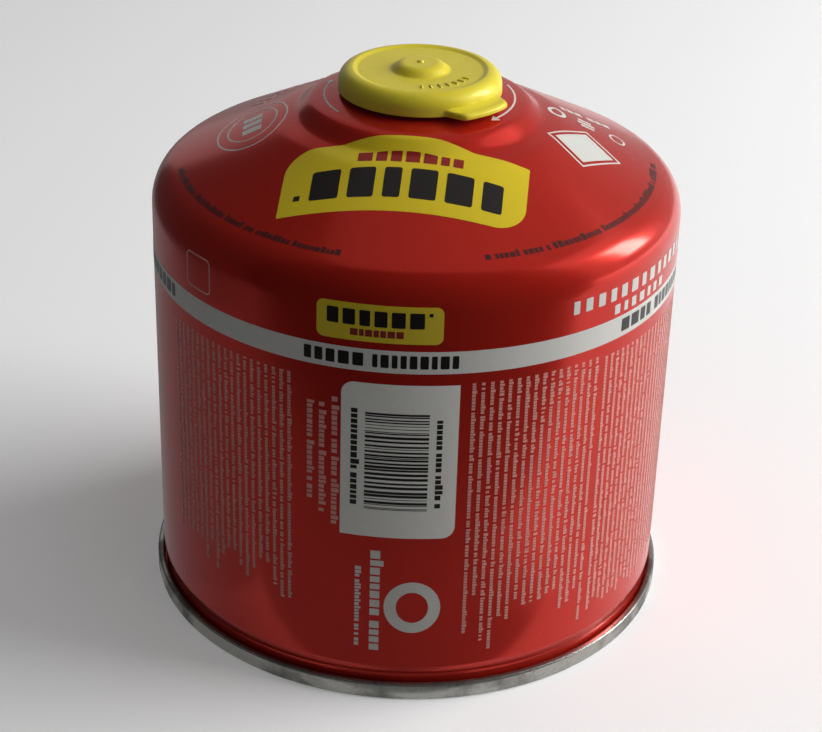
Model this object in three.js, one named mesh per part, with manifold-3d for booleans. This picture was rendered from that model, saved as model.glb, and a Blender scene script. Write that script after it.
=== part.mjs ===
// Valved gas canister: drawn steel shell, seamed base end, crimped screw valve and push-on cap.
// Millimetres, +Z up. The origin is the middle of the ring that the canister stands on.
import * as THREE from 'three';
import { mergeVertices } from 'three/addons/utils/BufferGeometryUtils.js';
import Module from 'manifold-3d';

const wasm = await Module();
wasm.setup();

// Fits
const seatGap = 0.3;          // between pieces that seat on each other
const capGap = 0.1;           // between the cap's grip bead and the valve cup's rim
const capSkirtGap = 0.25;     // between the cap's skirt and the rim
const capStudGap = 0.15;      // between the cap's underside and the stud's top
const stemGap = 0.25;         // round the sliding stem

// Drawn shell
const wallRadius = 54;        // outer radius of the drawn wall
const shoulderCornerHeight = 91.4;   // where the wall's line and the dome's line would meet
const shoulderRadius = 8;
const domeSlope = 26;         // degrees, the dome's fall towards the wall
const domeFlatRadius = 28.5;  // inside this the dome eases off towards the collar
const domeEaseRadius = 12;    // section radius of that easing
const collarFootRadius = 24.7;
const collarFootSlope = 17.5; // degrees, the eased ring round the collar
const collarFootBend = 1.6;
const collarTopRadius = 21.8;
const collarTopBend = 2.6;
const collarRise = 2.7;       // from the collar's foot to the edge of its top
const collarTopSlope = 11;    // degrees
const neckDepth = 0.4;        // the wall is necked in this far just above the seam
const neckHeight = 5.2;       // the neck is straight up to here
const neckLength = 2;         // over which it widens to the wall
const neckBend = 2;
const plate = 0.3;            // sheet of the shell's hem and of the base end

// Double seam and base end
const seamHeight = 3.5;
const seamBend = 0.55;        // outer bend radius of the seam's folds
const hookOverlap = 1.5;      // how far the two hooks lie over each other
const chuckWallHeight = 4.8;  // the wall inside the seam, up to the panel's upper face
const chuckWallLean = 0.5;
const chuckWallBend = 0.9;    // inner bend radius from the chuck wall into the panel
const panelInset = 2.1;       // from the chuck wall to the circle that the panel's sphere starts from
const panelFlare = 1.3;       // the sphere gives way to the flat edge this far inside that circle
const panelEdgeHeight = 4.2;
const panelRise = 10.5;       // of the base panel's middle above its edge

// Mouth of the shell
const mouthRadius = 12.2;
const curlRadius = 1.35;      // section of the rolled mouth
const curlFootGap = 0.1;      // between the roll and the collar's top where the sheet meets it
const curlRise = 2.32;        // of the rolled mouth above the collar's top
const pocketUndercut = 2;     // the space under the mouth is this much wider than the mouth
const pocketEdgeDrop = 0.8;   // its upper edge lies this far below the roll
const pocketDepth = 3.1;      // below the stud's skirt
const pocketCone = 3;         // height of its sloping floor
const pocketClearance = 1.6;  // round the stud and the housing
const gasSpace = 3.15;        // below the valve's inlet

// Valve cup
const cupPlate = 0.35;
const gasketThickness = 0.4;
const gasketInset = 0.6;      // of the sealing ring from the roll's inside
const gasketWidth = 1.2;
const rimBend = 2;            // outer bend of the rim, round the rolled mouth
const rimEdgeBend = 0.6;      // where the rim turns down into the well
const rimLipDrop = 1.485;     // the rim's edge lies this far below the top of the rolled mouth
const clinchDrop = 1.1;       // the crimp's widest ring lies this far below the rolled mouth
const clinchSwell = 1.2;      // how far the cup is spread there
const clinchBend = 0.4;       // inner bend radius of that ring
const clinchFloorDrop = 1.2;  // from the widest ring to the cup's floor
const studRadius = 5.55;      // over the screw thread
const studRise = 6.5;         // above the cup's floor
const studBend = 0.9;
const studHoleRadius = 2.5;
const studSkirt = 1.35;       // the stud's tube reaches this far below the cup's floor
const skirtRim = 0.3;         // the skirt's lower edge is this much wider than the stud
const skirtFlare = 0.9;       // and its root, where it meets the floor, this much
const crimpLip = 0.7;         // turned in under the housing's shoulder

// Inside the stud
const stemGasketThickness = 1.4;
const stemGasketHole = 1.5;
const housingWall = 0.9;
const housingDepth = 9.2;
const housingStep = 4.2;      // bore depth that the stem's disc slides in
const housingStepFall = 0.4;  // slope of the ledge below that bore
const inletRadius = 1.2;
const stemDiscThickness = 1.1;
const stemNippleRadius = 1.0;
const stemNippleRise = 1.5;
const stemGuideRadius = 1.7;
const stemGuideLength = 3.4;
const stemEdge = 0.3;         // rounding of the stem's edges
const springWire = 0.55;      // diameter
const springRadius = 2.7;     // to the middle of the wire
const springTurns = 4;
const springEndTurns = 0.5;   // flat turns at each end

// Cap
const capOverlap = 2.95;      // the skirt reaches this far below the rim's top
const capWall = 0.65;
const capDraft = 0.15;
const capEdgeRadius = 2.9;
const capInnerEdgeRadius = 2;
const capRimWidth = 3.1;      // from the outside to the line round the top face
const capRimStep = 0.4;
const capDish = 0.35;         // the top face lies this far below the rim line
const gripBeadHeight = 0.6;   // half height of the bead, and its distance from the skirt's edge
const buttonRadius = 5.9;
const buttonTopRadius = 4.2;
const buttonRise = 1.5;
const buttonFootBend = 0.5;
const buttonTopBend = 1;
const gateRadius = 0.45;
const gateRise = 0.3;
const tabReach = 3.5;
const tabRootHeight = 1.5;
const tabRootDepth = 0.3;     // the tab is rooted this deep in the skirt
const tabLipHeight = 0.7;
const tabLipRound = 0.3;
const tabHalfWidth = 7;
const tabCorner = 2.6;
const tabAngle = -46.5;       // degrees from +X, where the tab points
const scoopHeight = 2.6;      // of the thumb hollow's middle above the skirt's edge
const scoopWidth = 9;         // half axis along the wall
const scoopRound = 4;         // the other two half axes
const scoopDepth = 0.3;

// Facets
const shellFacets = 48;
const capFacets = 48;
const valveFacets = 32;
const innerFacets = 24;
const bendSteps = 2;
const capBendSteps = 3;
const shoulderSteps = 5;
const collarSteps = 3;

const degrees = Math.PI / 180;

// Colours and finishes
const enamelRed = new THREE.MeshStandardMaterial({ color: 0xb3281c, roughness: 0.25, metalness: 0.2 });
const bareSteel = new THREE.MeshStandardMaterial({ color: 0xb9b9b2, roughness: 0.32, metalness: 0.95 });
const valveSteel = new THREE.MeshStandardMaterial({ color: 0xc8c8c2, roughness: 0.25, metalness: 0.95 });
const springSteel = new THREE.MeshStandardMaterial({ color: 0xa8aaac, roughness: 0.3, metalness: 1 });
const sealRubber = new THREE.MeshStandardMaterial({ color: 0x1c1c1c, roughness: 0.8, metalness: 0 });
const housingPlastic = new THREE.MeshStandardMaterial({ color: 0xe4e2da, roughness: 0.5, metalness: 0 });
const stemPlastic = new THREE.MeshStandardMaterial({ color: 0xf0efe9, roughness: 0.45, metalness: 0 });
const capYellow = new THREE.MeshStandardMaterial({ color: 0xd8c234, roughness: 0.42, metalness: 0 });

// An outline through corner points [r, z, bend radius]; a corner without a radius stays sharp.
function bent(corners, steps = bendSteps) {
  const path = [];
  corners.forEach(([r, z, radius = 0], i) => {
    const corner = new THREE.Vector2(r, z);
    if (radius === 0 || i === 0 || i === corners.length - 1) {
      path.push(corner);
      return;
    }
    const back = new THREE.Vector2(corners[i - 1][0], corners[i - 1][1]).sub(corner).normalize();
    const ahead = new THREE.Vector2(corners[i + 1][0], corners[i + 1][1]).sub(corner).normalize();
    const half = Math.acos(THREE.MathUtils.clamp(back.dot(ahead), -1, 1)) / 2;
    const middle = back.clone().add(ahead).normalize().multiplyScalar(radius / Math.sin(half)).add(corner);
    const start = corner.clone().addScaledVector(back, radius / Math.tan(half)).sub(middle);
    const end = corner.clone().addScaledVector(ahead, radius / Math.tan(half)).sub(middle);
    const sweep = Math.atan2(start.cross(end), start.dot(end));
    for (let k = 0; k <= steps; k += 1) {
      path.push(start.clone().rotateAround(new THREE.Vector2(), (sweep * k) / steps).add(middle));
    }
  });
  return path;
}

// Turns an outline of (r, z) points about the Z axis.
function turned(outline, facets) {
  return new THREE.LatheGeometry(outline, facets).rotateX(Math.PI / 2);
}

function ring(outline, facets) {
  return turned([...outline, outline[0].clone()], facets);
}

function toSolid(geometry) {
  const bare = geometry.clone();
  bare.deleteAttribute('normal');
  bare.deleteAttribute('uv');
  const merged = mergeVertices(bare, 1e-4);
  return new wasm.Manifold(new wasm.Mesh({
    numProp: 3,
    vertProperties: new Float32Array(merged.attributes.position.array),
    triVerts: new Uint32Array(merged.index.array),
  }));
}

function toGeometry(solid) {
  const mesh = solid.getMesh();
  const geometry = new THREE.BufferGeometry();
  geometry.setAttribute('position', new THREE.BufferAttribute(new Float32Array(mesh.vertProperties), 3));
  geometry.setIndex(new THREE.BufferAttribute(new Uint32Array(mesh.triVerts), 1));
  geometry.computeVertexNormals();
  return geometry;
}

function named(name, geometry, material) {
  const mesh = new THREE.Mesh(geometry, material);
  mesh.name = name;
  return mesh;
}

// Radii of the seam's five layers, from the shell's necked wall outwards and inwards
const hookPitch = plate + seatGap;
const neckRadius = wallRadius - neckDepth;
const shellInner = neckRadius - plate;
const coverHookInner = neckRadius + seatGap;
const bodyHookInner = coverHookInner + hookPitch;
const seamingWallInner = bodyHookInner + hookPitch;
const seamRadius = seamingWallInner + plate;
const chuckOuter = shellInner - seatGap;
const chuckInner = chuckOuter - plate;
const chuckFoot = chuckInner - chuckWallLean;

// Heights of the seam's folds
const hemBottom = plate + seatGap;
const coverHookEnd = hemBottom + plate + seatGap;
const bodyHookTop = coverHookEnd + hookOverlap;

// Heights up the dome and the collar to the rolled mouth
const curlOuterRadius = mouthRadius + 2 * curlRadius;
const easedHeight = shoulderCornerHeight + (wallRadius - domeFlatRadius) * Math.tan(domeSlope * degrees);
const collarFootHeight = easedHeight + (domeFlatRadius - collarFootRadius) * Math.tan(collarFootSlope * degrees);
const collarEdgeHeight = collarFootHeight + collarRise;
const curlFootHeight = collarEdgeHeight + (collarTopRadius - curlOuterRadius) * Math.tan(collarTopSlope * degrees);
const curlTop = curlFootHeight + curlRise;
const curlCentre = curlTop - curlRadius;
const curlBottom = curlCentre - curlRadius;

// Levels and radii round the valve cup's rim and its crimp
const gasketBottom = curlTop + seatGap;
const rimInnerTop = gasketBottom + gasketThickness + seatGap;
const rimTop = rimInnerTop + cupPlate;
const rimInnerRadius = curlOuterRadius + seatGap;
const rimRadius = rimInnerRadius + cupPlate;
const cupWallRadius = mouthRadius - seatGap;
const wellRadius = cupWallRadius - cupPlate;
const clinchHeight = curlBottom - clinchDrop;
const clinchTop = clinchHeight + clinchSwell;
const cupFloorHeight = clinchHeight - clinchFloorDrop;

// Levels and radii inside the stud
const studTop = cupFloorHeight + studRise;
const studInner = studRadius - cupPlate;
const skirtBottom = cupFloorHeight - studSkirt - cupPlate;
const lipInner = studInner - crimpLip;
const stemGasketTop = studTop - cupPlate - seatGap;
const stemGasketBottom = stemGasketTop - stemGasketThickness;
const housingRadius = studInner - seatGap;
const housingBore = housingRadius - housingWall;
const housingTop = stemGasketBottom - seatGap;
const housingBottom = housingTop - housingDepth;
const housingShoulder = skirtBottom + cupPlate + seatGap;
const housingNeck = lipInner - seatGap;
const springBore = springRadius + springWire / 2 + seatGap;
const discTop = stemGasketBottom - seatGap;
const discBottom = discTop - stemDiscThickness;

// Height of the pressed-in base panel's upper or lower face at a radius
const panelEdgeRadius = chuckInner - panelInset;
const panelEnd = panelEdgeRadius - panelFlare;
const panelSphere = (panelEdgeRadius ** 2 + panelRise ** 2) / (2 * panelRise);
function panelHeight(r, lift) {
  const drop = panelSphere - Math.sqrt(panelSphere ** 2 - r ** 2);
  return panelEdgeHeight + panelRise - drop + lift;
}

function panelArc(lift, fromRadius, toRadius, steps) {
  const arc = [];
  for (let k = 0; k <= steps; k += 1) {
    const r = fromRadius + ((toRadius - fromRadius) * k) / steps;
    arc.push([r, panelHeight(r, lift)]);
  }
  return arc;
}

// Base end: pressed-in panel, chuck wall and the fold that wraps the shell's hem
function makeBaseEnd() {
  const panelSteps = 4;
  return turned(bent([
    ...panelArc(0, 0, panelEnd, panelSteps),
    [chuckFoot, chuckWallHeight - plate, chuckWallBend],
    [chuckInner, 0, seamBend],
    [seamRadius, 0, seamBend],
    [seamRadius, seamHeight, seamBend],
    [coverHookInner, seamHeight, seamBend],
    [coverHookInner, coverHookEnd],
    [coverHookInner + plate, coverHookEnd],
    [coverHookInner + plate, seamHeight - plate],
    [seamingWallInner, seamHeight - plate],
    [seamingWallInner, plate],
    [chuckOuter, plate],
    [chuckFoot + plate, chuckWallHeight, chuckWallBend + plate],
    ...panelArc(plate, panelEnd, 0, panelSteps),
  ]), shellFacets);
}

// Shell: hem, necked wall, shoulder, dome, collar and rolled mouth. It is filled inside, down to
// the base end, because the canister is sealed.
function makeShell() {
  const panelSteps = 4;
  const hem = bent([
    ...panelArc(hookPitch, 0, panelEnd, panelSteps),
    [chuckFoot + hookPitch, chuckWallHeight + seatGap],
    [shellInner, chuckWallHeight - chuckWallBend - plate],
    [shellInner, hemBottom, plate],
    [bodyHookInner + plate, hemBottom, plate],
    [bodyHookInner + plate, bodyHookTop],
    [bodyHookInner, bodyHookTop],
    [bodyHookInner, hemBottom + plate],
    [neckRadius, hemBottom + plate],
    [neckRadius, neckHeight, neckBend],
    [wallRadius, neckHeight + neckLength, neckBend],
    [wallRadius, shoulderCornerHeight],
  ]);
  const shoulder = bent([
    [wallRadius, neckHeight],
    [wallRadius, shoulderCornerHeight, shoulderRadius],
    [domeFlatRadius, easedHeight],
  ], shoulderSteps);
  const collar = bent([
    [wallRadius, shoulderCornerHeight],
    [domeFlatRadius, easedHeight, domeEaseRadius],
    [collarFootRadius, collarFootHeight, collarFootBend],
    [collarTopRadius, collarEdgeHeight, collarTopBend],
    [curlOuterRadius + curlFootGap, curlFootHeight],
  ], collarSteps);
  const curl = [-30, 10, 50, 90, 135, 180].map((angle) => new THREE.Vector2(
    mouthRadius + curlRadius * (1 + Math.cos(angle * degrees)),
    curlCentre + curlRadius * Math.sin(angle * degrees),
  ));
  const pocketFloor = skirtBottom - pocketDepth;
  const pocket = bent([
    [mouthRadius, curlBottom],
    [mouthRadius + pocketUndercut, curlBottom - pocketEdgeDrop],
    [mouthRadius + pocketUndercut, pocketFloor + pocketCone],
    [studRadius + pocketClearance, pocketFloor],
    [studRadius + pocketClearance, housingBottom - gasSpace],
    [0, housingBottom - gasSpace],
  ]);
  return turned([...hem.slice(0, -1), ...shoulder.slice(1, -1), ...collar.slice(1), ...curl, ...pocket],
    shellFacets);
}

const shell = new THREE.Group();
shell.add(
  named('can_shell', makeShell(), enamelRed),
  named('base_end', makeBaseEnd(), bareSteel),
);

// Sealing ring between the rolled mouth and the cup's rim
function makeRimGasket() {
  const inner = mouthRadius + gasketInset;
  return ring(bent([
    [inner, gasketBottom],
    [inner + gasketWidth, gasketBottom],
    [inner + gasketWidth, gasketBottom + gasketThickness],
    [inner, gasketBottom + gasketThickness],
  ]), innerFacets);
}

// Valve cup: rim over the rolled mouth, well, crimp under the mouth and the hollow screw stud
function makeValveCup() {
  const rimLip = curlTop - rimLipDrop;
  return ring(bent([
    [lipInner, skirtBottom],
    [studRadius + skirtRim, skirtBottom],
    [studRadius + skirtFlare, cupFloorHeight - cupPlate],
    [cupWallRadius, cupFloorHeight - cupPlate],
    [cupWallRadius + clinchSwell, clinchHeight, clinchBend + 0.5 * cupPlate],
    [cupWallRadius, clinchTop],
    [cupWallRadius, rimInnerTop],
    [rimInnerRadius, rimInnerTop, rimBend - cupPlate],
    [rimInnerRadius, rimLip],
    [rimRadius, rimLip],
    [rimRadius, rimTop, rimBend],
    [wellRadius, rimTop, rimEdgeBend],
    [wellRadius, clinchTop],
    [wellRadius + clinchSwell, clinchHeight, clinchBend],
    [wellRadius, cupFloorHeight],
    [studRadius, cupFloorHeight],
    [studRadius, studTop, studBend],
    [studHoleRadius, studTop],
    [studHoleRadius, studTop - cupPlate],
    [studInner, studTop - cupPlate],
    [studInner, skirtBottom + cupPlate],
    [lipInner, skirtBottom + cupPlate],
  ]), valveFacets);
}

// Seat that the stem closes against
function makeStemGasket() {
  return ring(bent([
    [stemGasketHole, stemGasketBottom],
    [housingRadius, stemGasketBottom],
    [housingRadius, stemGasketTop],
    [stemGasketHole, stemGasketTop],
  ]), innerFacets);
}

// Plastic cup under the seat, held by the stud's crimp, with the gas inlet in its floor
function makeHousing() {
  const boreStep = housingTop - housingStep;
  return ring(bent([
    [inletRadius, housingBottom],
    [housingNeck, housingBottom],
    [housingNeck, housingShoulder],
    [housingRadius, housingShoulder],
    [housingRadius, housingTop],
    [housingBore, housingTop],
    [housingBore, boreStep],
    [springBore, boreStep - housingStepFall],
    [springBore, housingBottom + housingWall],
    [inletRadius, housingBottom + housingWall],
  ]), innerFacets);
}

// Stem: sealing disc, nipple that the stove pushes down, guide inside the spring
function makeStem() {
  return turned(bent([
    [0, discBottom - stemGuideLength],
    [stemGuideRadius, discBottom - stemGuideLength, stemEdge],
    [stemGuideRadius, discBottom],
    [housingBore - stemGap, discBottom],
    [housingBore - stemGap, discTop, stemEdge],
    [stemNippleRadius, discTop],
    [stemNippleRadius, discTop + stemNippleRise, stemEdge],
    [0, discTop + stemNippleRise],
  ]), innerFacets);
}

// Helix with flat end turns
class SpringPath extends THREE.Curve {
  constructor(bottom, top) {
    super();
    this.bottom = bottom;
    this.top = top;
  }

  getPoint(t, target = new THREE.Vector3()) {
    const turns = springTurns + 2 * springEndTurns;
    const turn = t * turns;
    const climb = THREE.MathUtils.clamp((turn - springEndTurns) / springTurns, 0, 1);
    const angle = 2 * Math.PI * turn;
    return target.set(
      springRadius * Math.cos(angle),
      springRadius * Math.sin(angle),
      THREE.MathUtils.lerp(this.bottom, this.top, climb),
    );
  }
}

function makeSpring() {
  const stepsPerTurn = 10;
  const sides = 3;            // of half the wire
  const wire = new THREE.Shape();
  wire.absarc(0, 0, springWire / 2, 0, 2 * Math.PI);
  const bottom = housingBottom + housingWall + seatGap + springWire / 2;
  const top = discBottom - seatGap - springWire / 2;
  return new THREE.ExtrudeGeometry(wire, {
    steps: Math.round(stepsPerTurn * (springTurns + 2 * springEndTurns)),
    curveSegments: sides,
    extrudePath: new SpringPath(bottom, top),
  });
}

const valve = new THREE.Group();
valve.add(
  named('rim_gasket', makeRimGasket(), sealRubber),
  named('valve_cup', makeValveCup(), valveSteel),
  named('stem_gasket', makeStemGasket(), sealRubber),
  named('valve_housing', makeHousing(), housingPlastic),
  named('valve_spring', makeSpring(), springSteel),
  named('valve_stem', makeStem(), stemPlastic),
);

// Cap: skirt over the valve cup's rim, dished top with a hollow button over the stud
function makeCap() {
  const capBottom = rimTop - capOverlap;
  const innerTop = Math.max(rimTop + seatGap, studTop + capStudGap);
  const face = innerTop + capWall;
  const rimLine = face + capDish;
  const skirtInner = rimRadius + capSkirtGap;
  const capRadius = skirtInner + capWall;
  const beadRadius = rimRadius + capGap;
  const rimLineRadius = capRadius - capRimWidth;
  const buttonTop = face + buttonRise;
  const inside = bent([
    [0, innerTop + buttonRise],
    [buttonTopRadius - 0.3 * capWall, innerTop + buttonRise],
    [buttonRadius - capWall, innerTop],
    [skirtInner, innerTop, capInnerEdgeRadius],
    [skirtInner, capBottom + 2 * gripBeadHeight],
    [beadRadius, capBottom + 1.5 * gripBeadHeight],
    [skirtInner, capBottom + gripBeadHeight],
    [skirtInner, capBottom],
  ]);
  const outside = bent([
    [capRadius, capBottom],
    [capRadius - capDraft, rimLine, capEdgeRadius],
    [rimLineRadius, rimLine],
    [rimLineRadius - capRimStep, face],
    [buttonRadius, face, buttonFootBend],
    [buttonTopRadius, buttonTop, buttonTopBend],
    [gateRadius, buttonTop],
    [gateRadius, buttonTop + gateRise],
    [0, buttonTop + gateRise],
  ], capBendSteps);
  const body = turned([...inside, ...outside], capFacets);

  // The tab is the part of a sloping lip that lies inside the tab's plan
  const tip = capRadius + tabReach;
  const root = capRadius - tabRootDepth;
  const lip = ring(bent([
    [root, capBottom],
    [tip, capBottom, tabLipRound],
    [tip, capBottom + tabLipHeight, tabLipRound],
    [root, capBottom + tabRootHeight],
  ]), capFacets);
  const plan = new THREE.Shape();
  plan.moveTo(0, -tabHalfWidth);
  plan.lineTo(tip - tabCorner, -tabHalfWidth);
  plan.absarc(tip - tabCorner, tabCorner - tabHalfWidth, tabCorner, -Math.PI / 2, 0);
  plan.absarc(tip - tabCorner, tabHalfWidth - tabCorner, tabCorner, 0, Math.PI / 2);
  plan.lineTo(0, tabHalfWidth);
  const planBlock = new THREE.ExtrudeGeometry(plan, {
    depth: 2 * tabRootHeight, bevelEnabled: false, curveSegments: 5,
  }).translate(0, 0, capBottom - 0.5 * tabRootHeight).rotateZ(tabAngle * degrees);

  // Thumb hollow in the wall above the tab
  const hollow = new THREE.SphereGeometry(1, 20, 12)
    .scale(scoopRound, scoopWidth, scoopRound)
    .translate(capRadius + scoopRound - scoopDepth, 0, capBottom + scoopHeight)
    .rotateZ(tabAngle * degrees);

  const tab = toSolid(lip).intersect(toSolid(planBlock));
  return toGeometry(toSolid(body).subtract(toSolid(hollow)).add(tab));
}

const canister = new THREE.Group();
canister.add(shell, valve, named('cap', makeCap(), capYellow));

export default canister;
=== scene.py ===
# Squat valved gas canister: red enamelled shell with printed fields, bare foot, screw valve and yellow cap.
# Sizes are millimetres and degrees; az is the angle round the can from its front, to the right.
import math

import bmesh
import bpy
import numpy as np
from mathutils import Matrix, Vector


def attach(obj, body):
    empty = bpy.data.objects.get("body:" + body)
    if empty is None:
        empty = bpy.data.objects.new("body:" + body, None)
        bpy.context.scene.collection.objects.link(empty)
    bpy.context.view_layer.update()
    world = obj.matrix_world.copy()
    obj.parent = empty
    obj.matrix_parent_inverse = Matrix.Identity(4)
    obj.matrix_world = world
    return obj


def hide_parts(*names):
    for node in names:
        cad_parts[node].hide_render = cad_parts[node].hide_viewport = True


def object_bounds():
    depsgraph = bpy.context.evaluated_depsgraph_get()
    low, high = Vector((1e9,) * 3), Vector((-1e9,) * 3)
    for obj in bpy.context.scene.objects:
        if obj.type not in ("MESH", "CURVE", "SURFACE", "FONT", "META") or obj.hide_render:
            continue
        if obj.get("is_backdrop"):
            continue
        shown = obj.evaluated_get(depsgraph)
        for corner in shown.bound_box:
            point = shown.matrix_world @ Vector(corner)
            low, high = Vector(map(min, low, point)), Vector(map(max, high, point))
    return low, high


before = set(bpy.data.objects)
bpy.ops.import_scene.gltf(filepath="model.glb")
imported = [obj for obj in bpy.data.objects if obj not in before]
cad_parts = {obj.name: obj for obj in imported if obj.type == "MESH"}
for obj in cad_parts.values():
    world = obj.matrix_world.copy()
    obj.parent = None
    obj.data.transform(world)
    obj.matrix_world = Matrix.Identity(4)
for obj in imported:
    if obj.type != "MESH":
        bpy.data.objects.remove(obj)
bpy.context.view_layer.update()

mm = 0.001


# One socket of a material's nodes. Arithmetic on it adds Math nodes; numbers alone stay Python.
class Wire:
    def __init__(self, tree, socket=None):
        self.tree = tree
        self.socket = socket

    # Adds any node: its settings are set first, then the values or links of its sockets
    def node(self, kind, settings=None, inputs=None, out=0):
        made = self.tree.nodes.new(kind)
        for name, value in (settings or {}).items():
            setattr(made, name, value)
        for name, value in (inputs or {}).items():
            if isinstance(value, Wire):
                self.tree.links.new(value.socket, made.inputs[name])
            else:
                made.inputs[name].default_value = value
        return Wire(self.tree, made.outputs[out])

    def maths(self, operation, *values):
        return self.node("ShaderNodeMath", {"operation": operation}, dict(enumerate(values)))

    def __add__(self, other):
        return self.maths("ADD", self, other)

    def __rsub__(self, other):
        return self.maths("SUBTRACT", other, self)

    def __mul__(self, other):
        return self.maths("MULTIPLY", self, other)

    __radd__ = __add__
    __rmul__ = __mul__

    # 0 below low, 1 above high, smooth between
    def ramp(self, low, high, bottom=0.0, top=1.0):
        settings = {"interpolation_type": "SMOOTHSTEP"}
        return self.node("ShaderNodeMapRange", settings, {0: self, 1: low, 2: high, 3: bottom, 4: top})

    def blend(self, first, second):
        inputs = {0: self, 6: first, 7: second}
        return self.node("ShaderNodeMix", {"data_type": "RGBA"}, inputs, out=2)

    # Noise with cells of the given size in millimetres, read at self (a vector)
    def noise(self, size, detail=2.0, rough=0.5, seed=0.0):
        settings = {"noise_dimensions": "4D"}
        inputs = {"Vector": self, "W": seed, "Scale": 1 / (size * mm), "Detail": detail, "Roughness": rough}
        return self.node("ShaderNodeTexNoise", settings, inputs)

    def bump(self, height, strength=1.0):
        inputs = {"Height": self, "Strength": strength, "Distance": height * mm}
        return self.node("ShaderNodeBump", {}, inputs)


def colour(r, g, b):
    return (r, g, b, 1.0)


# A material whose Principled sockets are set to numbers or links; build gets the Object coordinates
def material(name, constants, build):
    made = bpy.data.materials.new(name)
    made.use_nodes = True
    tree = made.node_tree
    shader = tree.nodes["Principled BSDF"]
    coords = Wire(tree).node("ShaderNodeTexCoord", out="Object")
    for socket, value in {**constants, **build(coords)}.items():
        if isinstance(value, Wire):
            tree.links.new(value.socket, shader.inputs[socket])
        else:
            shader.inputs[socket].default_value = value
    return made


# An outline through corners (r, z, bend): a bend is the arc of that radius tangent to both legs
def bentOutline(corners, steps=8):
    points = []
    for i, (r, z, *bend) in enumerate(corners):
        here = np.array([r, z], float)
        if not bend or i in (0, len(corners) - 1):
            points.append(here[None])
            continue
        back, ahead = (np.array(corners[k][:2], float) - here for k in (i - 1, i + 1))
        back, ahead = back / np.linalg.norm(back), ahead / np.linalg.norm(ahead)
        half = math.acos(np.clip(back @ ahead, -1, 1)) / 2
        centre = here + (back + ahead) / np.linalg.norm(back + ahead) * bend[0] / math.sin(half)
        start = here + back * bend[0] / math.tan(half) - centre
        end = here + ahead * bend[0] / math.tan(half) - centre
        sweep = math.atan2(start[0] * end[1] - start[1] * end[0], start @ end)
        turn = np.linspace(0, sweep, steps + 1)[:, None]
        points.append(centre + start * np.cos(turn) + start[::-1] * [-1, 1] * np.sin(turn))
    return np.concatenate(points)


# The same outline with points added so that no leg is much longer than step
def spaced(outline, step):
    leg = np.linalg.norm(np.diff(outline, axis=0), axis=1)
    along = np.concatenate([[0], np.cumsum(leg)])
    extra = np.arange(step, along[-1], step)
    room = np.abs(extra[:, None] - along[None]).min(axis=1)
    at = np.sort(np.concatenate([along, extra[room > 0.4 * step]]))
    return np.stack([np.interp(at, along, outline[:, k]) for k in (0, 1)], axis=1)


# Surface of revolution: x = r cos t, y = r sin t, with one row for each outline point
def turnedGrid(outline, facets):
    t = np.linspace(0, 2 * np.pi, facets, endpoint=False)
    r, z = outline[:, :1], outline[:, 1:]
    return np.stack([r * np.cos(t), r * np.sin(t), z + 0 * t], axis=-1)


# Quads between neighbours of a grid of rows and columns, closed round in either direction
def gridFaces(rows, columns, closeRows=False, closeColumns=True):
    index = np.arange(rows * columns).reshape(rows, columns)
    if closeRows:
        index = np.concatenate([index, index[:1]], axis=0)
    if closeColumns:
        index = np.concatenate([index, index[:, :1]], axis=1)
    corners = [index[:-1, :-1], index[:-1, 1:], index[1:, 1:], index[1:, :-1]]
    return np.stack([corner.ravel() for corner in corners], axis=1)


# Faces of a slab: its top grid, its bottom grid of the same size, and a wall along their common edge
def slabFaces(rows, columns):
    count = rows * columns
    top = gridFaces(rows, columns, False, False)
    index = np.arange(count).reshape(rows, columns)
    edge = np.concatenate([index[0, :-1], index[:-1, -1], index[-1, :0:-1], index[:0:-1, 0]])
    after = np.roll(edge, -1)
    wall = np.stack([edge, after, after + count, edge + count], axis=1)
    return np.concatenate([top, top[:, ::-1] + count, wall])


# Joins (points, faces) pairs into one
def together(*parts):
    points, faces, count = [], [], 0
    for partPoints, partFaces in parts:
        flat = partPoints.reshape(-1, 3)
        points.append(flat)
        faces.append(partFaces + count)
        count += len(flat)
    return np.concatenate(points), np.concatenate(faces)


# A mesh piece from points in millimetres: poles merged, faces out, edges sharper than the angle kept crisp
def makePiece(name, shape, finish, body, sharp=38):
    points, faces = shape
    mesh = bpy.data.meshes.new(name)
    mesh.from_pydata((points.reshape(-1, 3) * mm).tolist(), [], faces.tolist())
    work = bmesh.new()
    work.from_mesh(mesh)
    bmesh.ops.remove_doubles(work, verts=work.verts, dist=1e-8)
    bmesh.ops.recalc_face_normals(work, faces=work.faces)
    work.to_mesh(mesh)
    work.free()
    mesh.polygons.foreach_set("use_smooth", np.ones(len(mesh.polygons), bool))
    mesh.set_sharp_from_angle(angle=math.radians(sharp))
    mesh.materials.append(finish)
    piece = bpy.data.objects.new(name, mesh)
    bpy.context.scene.collection.objects.link(piece)
    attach(piece, body)
    return piece


print("camera and light")

view = dict(x=-0.15, y=-383.10, z=252.41, down=28.25, roll=1.68, lens=88.755, sensor=36.0)

lens = bpy.data.cameras.new("camera")
lens.lens = view["lens"]
lens.sensor_width = view["sensor"]
lens.clip_start = 0.01
cameraPiece = bpy.data.objects.new("camera", lens)
place = Matrix.Translation((view["x"] * mm, view["y"] * mm, view["z"] * mm))
tilt = Matrix.Rotation(math.radians(90 - view["down"]), 4, "X")
cameraPiece.matrix_world = place @ tilt @ Matrix.Rotation(math.radians(view["roll"]), 4, "Z")
bpy.context.scene.collection.objects.link(cameraPiece)
bpy.context.scene.camera = cameraPiece
bpy.context.scene.view_settings.view_transform = "Standard"

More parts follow.
